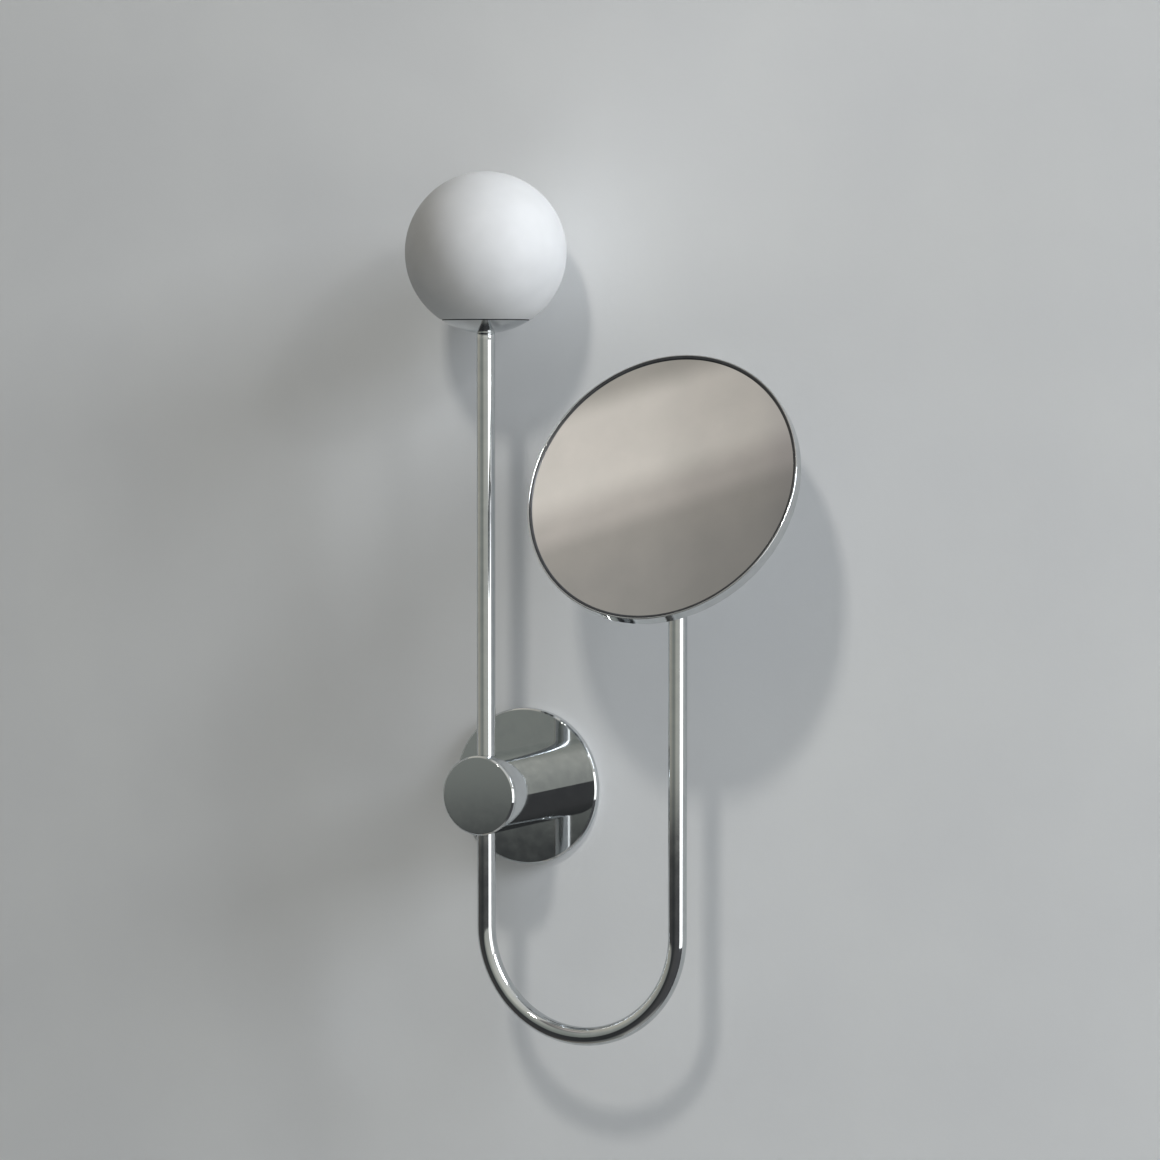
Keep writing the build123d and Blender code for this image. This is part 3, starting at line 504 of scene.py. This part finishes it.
def u_line(s):
    """Points at distances s along the tube, and there the direction across it in the tube's own plane.

    The turn grows from 0 to half a circle over the bend and is held constant on the legs, so one
    formula serves all three stretches: the point on the bend's circle, raised by the leg's length.
    """
    turn = np.clip((s - LONG_LEG) / BEND_R, 0, pi)
    rise = np.maximum(LONG_LEG - s, 0) + np.maximum(s - BEND_END, 0)
    sideways, upright = BEND_R * (1 - np.cos(turn)), BEND_Z - BEND_R * np.sin(turn) + rise
    centre = np.stack([sideways, np.full_like(s, AXIS_Y), upright], -1)
    across = np.stack([np.cos(turn), np.zeros_like(s), np.sin(turn)], -1)
    return centre, across


def u_rings(s, radius, columns=48):
    """Rings of points of the given radii round the tube's line."""
    centre, across = u_line(s)
    angle = np.linspace(0, 2 * pi, columns, endpoint=False)[:, None]
    out = np.array([0.0, -1.0, 0.0])
    return centre[:, None] + radius[:, None, None] * (np.cos(angle) * across[:, None] + np.sin(angle) * out)


stretches = ((EDGE_BREAK, LONG_LEG, LONG_ROWS), (LONG_LEG, BEND_END, BEND_ROWS),
             (BEND_END, RUN - EDGE_BREAK, SHORT_ROWS))
rows = [np.linspace(*stretch, endpoint=False) for stretch in stretches]
outside = np.concatenate([[0.0], *rows, [RUN - EDGE_BREAK, RUN]])
outside_r = np.full_like(outside, TUBE_R)
outside_r[[0, -1]] -= EDGE_BREAK
inside = outside[::-1]
inside_r = np.full_like(inside, TUBE_R - TUBE_WALL)
tube_points = np.vstack([u_rings(outside, outside_r), u_rings(inside, inside_r)])
piece("bent_tube", tube_points, "swing_tube", "chrome", "u_tube", rows_closed=True)

# %% [markdown]
# ## The wall plate and the arm's end cap
#
# Both are turned discs. The plate is a shallow cup whose open side stands on the wall, and the cap
# is solid. Their outlines are a handful of corners, read as radius from the arm's axis and distance
# from the wall. The broad bevel round each face is what catches the light.

# %% Wall plate and end cap
BEVEL = 1.2 * MM
BREAK = 0.3 * MM
OUT = (0, -1, 0)
PLATE_WALL = 1.5 * MM
ARM_WALL = 4 * MM
plate_low, plate_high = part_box("wall_plate")
cap_low, cap_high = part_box("arm_end_cap")
PLATE_R, PLATE_FRONT = plate_high.x, -plate_low.y
CAP_BACK, CAP_FRONT = -cap_high.y, -cap_low.y
ARM_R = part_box("arm_body")[1].x
ARM_BORE = ARM_R - ARM_WALL

plate_outline = rounded([
    (PLATE_R, 0, BREAK),
    (PLATE_R, PLATE_FRONT - BEVEL, BREAK),
    (PLATE_R - BEVEL, PLATE_FRONT, BREAK),
    (ARM_BORE, PLATE_FRONT, BREAK),
    (ARM_BORE, PLATE_FRONT - PLATE_WALL, BREAK),
    (PLATE_R - PLATE_WALL, PLATE_FRONT - PLATE_WALL, BREAK),
    (PLATE_R - PLATE_WALL, 0, BREAK),
])
plate_points = turned(plate_outline, (0, 0, 0), OUT)
piece("wall_cover", plate_points, "wall_mount", "chrome", "wall_plate", rows_closed=True)

cap_outline = rounded([
    (0, CAP_BACK, 0),
    (ARM_R, CAP_BACK, BREAK),
    (ARM_R, CAP_FRONT - BEVEL, BREAK),
    (ARM_R - BEVEL, CAP_FRONT, BREAK),
    (0, CAP_FRONT, 0),
])
piece("end_cap", turned(cap_outline, (0, 0, 0), OUT), "wall_mount", "chrome", "arm_end_cap")

# %% [markdown]
# ## The globe
#
# A blown globe has one even wall, and its mouth is cut flat and fire polished, so the cut's two
# edges are rounded. The outline runs down the outside of the sphere, round the mouth and back up
# the inside. Angles spaced evenly keep the faces even, and the two ends lie on the axis.

# %% Globe
globe_low, globe_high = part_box("globe_glass")
GLOBE_R = (globe_high.x - globe_low.x) / 2
GLOBE_WALL = 3 * MM
GLOBE_BORE = GLOBE_R - GLOBE_WALL
GLOBE_LIP = 0.8 * MM
LIP_ROOM = 2.5 * GLOBE_LIP
globe_centre = np.array([0, AXIS_Y, globe_high.z - GLOBE_R])
mouth = globe_low.z - globe_centre[2]


def sphere_run(radius, rows=72):
    """Points (radius, height, no round) from a sphere's top to just above the mouth's plane."""
    last = np.arccos(mouth / radius) - LIP_ROOM / radius
    angle = np.linspace(0, last, rows)
    return np.stack([radius * np.sin(angle), radius * np.cos(angle), np.zeros(rows)], -1)


lip = [(np.sqrt(radius ** 2 - mouth ** 2), mouth, GLOBE_LIP) for radius in (GLOBE_R, GLOBE_BORE)]
globe_outline = rounded(np.vstack([sphere_run(GLOBE_R), lip, sphere_run(GLOBE_BORE)[::-1]]))
globe_points = turned(globe_outline, globe_centre, (0, 0, 1), columns=160)
piece("globe", globe_points, "swing_tube", "opal_glass", "globe_glass")

# %% [markdown]
# ## The mirror
#
# The mirror stands at a tilt, so its own axis has to be found first. A flat disc's points vary
# least along its axis, and a singular value decomposition of the CAD glass finds exactly that
# direction. The pan, the glass and the ring are then three outlines about the same axis.

# %% Where the mirror's face is
cad_glass = np.array([v.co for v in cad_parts["mirror_glass"].data.vertices])
glass_middle = (cad_glass.min(0) + cad_glass.max(0)) / 2
FACING = np.linalg.svd(cad_glass - glass_middle, full_matrices=False)[2][-1]
FACING *= -np.sign(FACING[1])
GLASS_R = np.ptp(cad_glass[:, 0]) / 2
GLASS_T = 4 * MM
GLASS_SUNK = 1.4 * MM
face_centre = glass_middle + FACING * (GLASS_T / 2 + GLASS_SUNK)
print("tilt in degrees", round(float(np.degrees(np.arcsin(FACING[2]))), 2), "radius", round(GLASS_R / MM, 2))

# %% [markdown]
# The pan is spun from sheet, with a round where its wall meets its back and a rolled lip in front.
# The glass has a fine ground bevel, the line of light just inside the ring. The ring is dark
# moulded plastic, pressed into the pan's mouth over the glass's edge. Its face is a quarter round
# that falls away to the glass, so it shows only a thin soft line of light.

# %% Pan, glass and ring
pan_low, pan_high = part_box("mirror_pan")
PAN_R = (pan_high.x - pan_low.x) / 2
PAN_DEPTH = 10 * MM
PAN_WALL, PAN_FLOOR = 1.2 * MM, 1.5 * MM
BACK_ROUND, LIP_ROUND, FLOOR_ROUND = 1.0 * MM, 0.55 * MM, 0.4 * MM
FINE_HOLD = 0.05 * MM
MIRROR_COLUMNS = 256

pan_outline = rounded([
    (0, -PAN_DEPTH, 0),
    (PAN_R, -PAN_DEPTH, BACK_ROUND),
    (PAN_R, 0, LIP_ROUND),
    (PAN_R - PAN_WALL, 0, LIP_ROUND),
    (PAN_R - PAN_WALL, PAN_FLOOR - PAN_DEPTH, FLOOR_ROUND),
    (0, PAN_FLOOR - PAN_DEPTH, 0),
], hold=FINE_HOLD)
pan_points = turned(pan_outline, face_centre, FACING, MIRROR_COLUMNS)
piece("pan", pan_points, "mirror_head", "chrome", "mirror_pan")

GROUND_BEVEL = 0.8 * MM
glass_outline = rounded([
    (0, -GLASS_SUNK - GLASS_T, 0),
    (GLASS_R, -GLASS_SUNK - GLASS_T, BREAK),
    (GLASS_R, -GLASS_SUNK - GROUND_BEVEL / 2, BREAK),
    (GLASS_R - GROUND_BEVEL, -GLASS_SUNK, BREAK),
    (0, -GLASS_SUNK, 0),
], hold=FINE_HOLD)
glass_points = turned(glass_outline, face_centre, FACING, MIRROR_COLUMNS)
piece("glass", glass_points, "mirror_head", "silvered_glass", "mirror_glass")

RING_W = 2 * MM
RING_GAP = 0.05 * MM
RING_STEPS = 8
RING_OUT = PAN_R - PAN_WALL - RING_GAP
RING_TOP, RING_LOW = -0.2 * MM, -GLASS_SUNK
slope = np.linspace(0, pi / 2, RING_STEPS + 1)[1:]
ring_curve = np.stack([RING_OUT - BREAK - (RING_W - BREAK) * np.sin(slope),
                       RING_TOP - (RING_TOP - RING_LOW) * (1 - np.cos(slope)), np.zeros(RING_STEPS)], -1)
ring_outline = rounded([(RING_OUT, RING_LOW, 0), (RING_OUT, RING_TOP, BREAK), *ring_curve], hold=FINE_HOLD)
ring_points = turned(ring_outline, face_centre, FACING, MIRROR_COLUMNS)
piece("ring", ring_points, "mirror_head", "rim_plastic", "mirror_bezel", rows_closed=True)

# %% [markdown]
# ## The room: wall, floor and what the metal sees
#
# The object hangs on a plastered wall, so a plane over three metres wide stands just behind the
# plate. Its plaster rolls faintly in tone, under the stipple that a paint roller leaves. From
# behind, it is clear, so the back of the object can be looked at too. A pale floor lies well below.

# %% Plaster and floor paint
def plaster():
    """Painted plaster: trowel waves of 160 mm in tone, 6 mm roller stipple in height, clear from behind."""
    made, tree = blank("PlasterPainted")
    trowel = mottle(tree, 160, detail=3)
    stipple = mottle(tree, 6, detail=3)
    paint = surface(tree, (trowel, "E4E6E7", "E9EBEB"), 0.85, (stipple, 0.08), {"Specular IOR Level": 0.2})
    behind = add(tree, "ShaderNodeNewGeometry").outputs["Backfacing"]
    clear = add(tree, "ShaderNodeBsdfTransparent").outputs["BSDF"]
    either = add(tree, "ShaderNodeMixShader", {"Fac": behind, 1: paint, 2: clear})
    add(tree, "ShaderNodeOutputMaterial", {"Surface": either.outputs["Shader"]})
    return made


def floor_paint():
    """Pale matt floor, with a soft change of tone 300 mm wide."""
    made, tree = blank("FloorPale")
    paint = surface(tree, (mottle(tree, 300), "C6C7C6", "CDCECD"), 0.8)
    add(tree, "ShaderNodeOutputMaterial", {"Surface": paint})
    return made


# %% [markdown]
# The wall has a round hole behind the plate, which hides it, and through which the plate's back can
# be seen. So the wall is a band of faces between the hole's circle and the outer edge, met along
# rays from the hole's middle. Neither wall nor floor belongs to the object.

# %% Wall and floor
WALL_SPAN, WALL_LOW, WALL_TOP = 1.6, -1.25, 2.6
FLOOR_FRONT = -4.5
HOLE_R = 59 * MM
WALL_GAP = 0.5 * MM
WALL_RAYS = 128


def stage(name, points, faces, material):
    """A flat stage piece from its corners."""
    mesh = bpy.data.meshes.new(name)
    mesh.from_pydata(points, [], faces)
    mesh.materials.append(material)
    thing = bpy.data.objects.new(name, mesh)
    bpy.context.scene.collection.objects.link(thing)
    return thing


angle = np.linspace(0, 2 * pi, WALL_RAYS, endpoint=False) + pi / WALL_RAYS
ray = np.stack([np.cos(angle), np.sin(angle)], -1)
corner_low, corner_high = np.array([-WALL_SPAN, WALL_LOW]), np.array([WALL_SPAN, WALL_TOP])
reach = np.where(ray > 0, corner_high / ray, corner_low / ray).min(-1, keepdims=True)
wall_points = np.insert(np.vstack([ray * HOLE_R, ray * reach]), 1, WALL_GAP, axis=1)
step = np.arange(WALL_RAYS)
after = (step + 1) % WALL_RAYS
wall_faces = np.stack([step, step + WALL_RAYS, after + WALL_RAYS, after], -1)
wall = stage("wall", wall_points.tolist(), wall_faces.tolist(), plaster())

floor_points = [(-WALL_SPAN, WALL_GAP, WALL_LOW), (-WALL_SPAN, FLOOR_FRONT, WALL_LOW),
                (WALL_SPAN, FLOOR_FRONT, WALL_LOW), (WALL_SPAN, WALL_GAP, WALL_LOW)]
floor = stage("floor", floor_points, [(0, 1, 2, 3)], floor_paint())
floor.visible_glossy = False
facing = [round(part, 2) for part in wall.data.polygons[0].normal]
print("wall faces", len(wall.data.polygons), "facing", facing, "floor at", WALL_LOW)

# %% [markdown]
# Polished metal looks like whatever stands round it, so the world is painted as a plain bathroom:
# pale walls above the level of the arm, a dark band of furniture below, and a paler floor. The walls
# are darkest a little to the left of straight out from the object, and brightest to the right. All
# of it is worked out from the direction that each ray leaves in.
#
# Reflections see the room at full strength. Matt surfaces get about a quarter of it, because the
# lights below are their light. A ray straight from the camera sees a plain pale tone instead, so
# nothing odd shows past the wall's edge.

# %% World
HEIGHT_TONES = [(-90, "B4B4B2"), (-66, "9E9E9C"), (-50, "545456"), (-7.0, "58585A"), (-5.6, "C5C6C1"),
                (30, "E6E6E0"), (90, "E6E6E4")]
TURN_TONES = [(-180, "C8C4BC"), (-95, "F0ECE4"), (-62, "D8D5CE"), (-34, "BCBFBE"), (-21, "AEB2B0"),
              (-6, "D0D1CD"), (6, "F2F1ED"), (60, "FAFAFA"), (180, "E0E0E0")]
BACKDROP = "C3C5C6"
ROOM_STRENGTH = 1.0
FILL_STRENGTH = 0.23


def room(tree):
    """The reflected room's colour: tone by degrees over the horizon, times tone by degrees to the right.

    The ramps run from 0 to 1. A height's place is (1 + its sine) / 2, which is how a ray's Z runs
    there, and a turn's place is its share of the circle, which starts and ends straight into the wall.
    """
    heights = [((1 + sin(radians(degrees))) / 2, tone) for degrees, tone in HEIGHT_TONES]
    turns = [((180 + degrees) / 360, tone) for degrees, tone in TURN_TONES]
    aim = add(tree, "ShaderNodeSeparateXYZ", {"Vector": add(tree, "ShaderNodeTexCoord").outputs["Generated"]})
    rise = add(tree, "ShaderNodeMapRange", {"Value": aim.outputs["Z"], "From Min": -1.0, "From Max": 1.0})
    front = add(tree, "ShaderNodeMath", {0: aim.outputs["Y"], 1: -1.0}, operation="MULTIPLY").outputs[0]
    turn = add(tree, "ShaderNodeMath", {0: aim.outputs["X"], 1: front}, operation="ARCTAN2").outputs[0]
    way = add(tree, "ShaderNodeMapRange", {"Value": turn, "From Min": -pi, "From Max": pi})
    by_height = add(tree, "ShaderNodeValToRGB", {"Fac": rise.outputs["Result"]}, heights, "EASE")
    by_turn = add(tree, "ShaderNodeValToRGB", {"Fac": way.outputs["Result"]}, turns, "EASE")
    seen = add(tree, "ShaderNodeVectorMath", {0: by_height.outputs["Color"], 1: by_turn.outputs["Color"]},
               operation="MULTIPLY")
    return seen.outputs["Vector"]


world = bpy.data.worlds.new("room")
world.use_nodes = True
tree = world.node_tree
tree.nodes.clear()
seen_by = add(tree, "ShaderNodeLightPath")
strength = add(tree, "ShaderNodeMapRange", {"Value": seen_by.outputs["Is Glossy Ray"],
                                            "To Min": FILL_STRENGTH, "To Max": ROOM_STRENGTH})
dim = add(tree, "ShaderNodeBackground", {"Color": room(tree),
                                         "Strength": strength.outputs["Result"]}).outputs["Background"]
pale = add(tree, "ShaderNodeBackground", {"Color": linear(BACKDROP), "Strength": 1.0}).outputs["Background"]
either = add(tree, "ShaderNodeMixShader", {"Fac": seen_by.outputs["Is Camera Ray"], 1: dim, 2: pale})
add(tree, "ShaderNodeOutputWorld", {"Surface": either.outputs["Shader"]})
bpy.context.scene.world = world
print("world nodes", len(tree.nodes))

# %% [markdown]
# ## Light
#
# A big window stands far to the right, almost in the wall's own plane: it rakes across the plaster,
# whitens the globe's right side and draws the highlight down the tube. A small lamp, high in front,
# lifts the faces and throws a lighter second shadow. An open doorway, low on the right, adds little
# light but gives the metal something pale to show. The camera sees none of these three. Last, a
# soft patch of sun falls on the globe and the wall behind it, and reflections don't see its source.

# %% Lights
SUN_WATTS = 38
SUN_SPREAD = radians(9)
SUN_RADIUS = 0.15


def area_light(name, place, at, size, watts, colour):
    """A soft rectangular light, aimed at a point and unseen by the camera."""
    data = bpy.data.lights.new(name, "AREA")
    data.shape = "RECTANGLE"
    data.size, data.size_y = size
    data.energy = watts
    data.color = linear(colour)[:3]
    aimed(data, name, place, at).visible_camera = False


area_light("window", (5.2, -1.17, 2.9), (0.0, -0.1, 0.2), (1.8, 2.8), 325, "F2F7FF")
area_light("doorway", (2.3, -0.82, -0.1), (0.0, -0.1, 0.0), (1.6, 1.2), 11, "FFFFFF")
area_light("lamp", (0.3, -2.4, 2.35), (0.05, 0.0, 0.15), (0.3, 0.3), 21.5, "FFFBF5")

sun = bpy.data.lights.new("sun_patch", "SPOT")
sun.energy = SUN_WATTS
sun.spot_size = SUN_SPREAD
sun.spot_blend = 1.0
sun.shadow_soft_size = SUN_RADIUS
aimed(sun, "sun_patch", (1.6, -1.0, 1.3), (0.05, 0.0, 0.475)).visible_glossy = False
print("lights in watts", {light.name: round(light.energy, 1) for light in bpy.data.lights})

# %% [markdown]
# The mirror looks up at the ceiling, and what stands there is what it shows. A soft card takes the
# ceiling's place: warm and light to one side, grey beyond a blurred edge, like a lit ceiling meeting
# the shade of a beam. Its edges fade to nothing.

# %% The ceiling's tones
SILVER_SHARE = 0.81
CARD_SLANT, CARD_START, CARD_CLIMB = -0.93, -0.445, 2.82
CARD_TONES = [(0.07, "8E8B88"), (0.25, "938F8C"), (0.39, "9A9591"), (0.47, "B2ABA7"), (0.59, "CEC7C2"),
              (0.7, "CBC4BF"), (0.77, "CBC4BF"), (0.87, "9E9994"), (0.92, "918D88")]
SIDE_TONES = [(0.4, "FFFFFF"), (0.47, "F9F9F9"), (0.56, "E2E2E2"), (0.6, "DCDCDC"), (0.64, "CECED0")]
FADE = [(0.0, "000000"), (0.22, "FFFFFF"), (0.78, "FFFFFF"), (1.0, "000000")]


def ceiling():
    """A glow whose tone runs along a slanting line, is shaded to one side, and fades out at the edges.

    The line's place is the height over the card times CARD_CLIMB, plus the way across it times
    CARD_SLANT, plus CARD_START. The tones are as seen in the mirror, so the glow is divided by the
    share of light that the silver gives back.
    """
    made, tree = blank("CeilingCard")
    flat = add(tree, "ShaderNodeTexCoord").outputs["UV"]
    place = add(tree, "ShaderNodeSeparateXYZ", {"Vector": flat}).outputs
    slant = add(tree, "ShaderNodeMath", {0: place["X"], 1: CARD_SLANT, 2: CARD_START},
                operation="MULTIPLY_ADD")
    climb = add(tree, "ShaderNodeMath", {0: place["Y"], 1: CARD_CLIMB, 2: slant.outputs[0]},
                operation="MULTIPLY_ADD")
    runs = [add(tree, "ShaderNodeValToRGB", {"Fac": at}, stops, "EASE").outputs["Color"] for at, stops in (
        (climb.outputs[0], CARD_TONES), (place["X"], SIDE_TONES), (place["X"], FADE), (place["Y"], FADE))]
    colour, solid = [add(tree, "ShaderNodeVectorMath", {0: one, 1: other}, operation="MULTIPLY")
                     for one, other in (runs[:2], runs[2:])]
    share = add(tree, "ShaderNodeSeparateXYZ", {"Vector": solid.outputs["Vector"]}).outputs["X"]
    clear = add(tree, "ShaderNodeBsdfTransparent").outputs["BSDF"]
    glow = add(tree, "ShaderNodeEmission", {"Color": colour.outputs["Vector"],
                                            "Strength": 1 / SILVER_SHARE}).outputs["Emission"]
    soft = add(tree, "ShaderNodeMixShader", {"Fac": share, 1: clear, 2: glow})
    add(tree, "ShaderNodeOutputMaterial", {"Surface": soft.outputs["Shader"]})
    return made


# %% [markdown]
# The card stands square to the camera's line after that line has bounced off the mirror. A
# direction d bounces off a face that looks along n as d - 2 (d . n) n, which as a matrix is the
# identity less twice the outer product of n with itself. Only reflections see the card, so it
# lights nothing else.

# %% Ceiling card
CARD_AWAY = 1.0
CARD_HALF = 0.45

to_camera = unit(np.array(camera.matrix_world.translation) - face_centre)
mirrored = np.eye(3) - 2 * np.outer(FACING, FACING)
bounced = mirrored @ -to_camera
camera_axes = np.array(camera.matrix_world.to_3x3())
card_right, card_up = mirrored @ camera_axes[:, 0], mirrored @ camera_axes[:, 1]
card_middle = face_centre + bounced * CARD_AWAY
corners = [card_middle + CARD_HALF * (x * card_right + y * card_up)
           for x, y in ((-1, -1), (1, -1), (1, 1), (-1, 1))]
card = stage("ceiling_card", [tuple(corner) for corner in corners], [(0, 1, 2, 3)], ceiling())
card.data.uv_layers.new(name="card").data.foreach_set("uv", [0, 0, 1, 0, 1, 1, 0, 1])
card.visible_camera = card.visible_diffuse = card.visible_shadow = card.visible_transmission = False
print("card towards", np.round(bounced, 3).tolist())
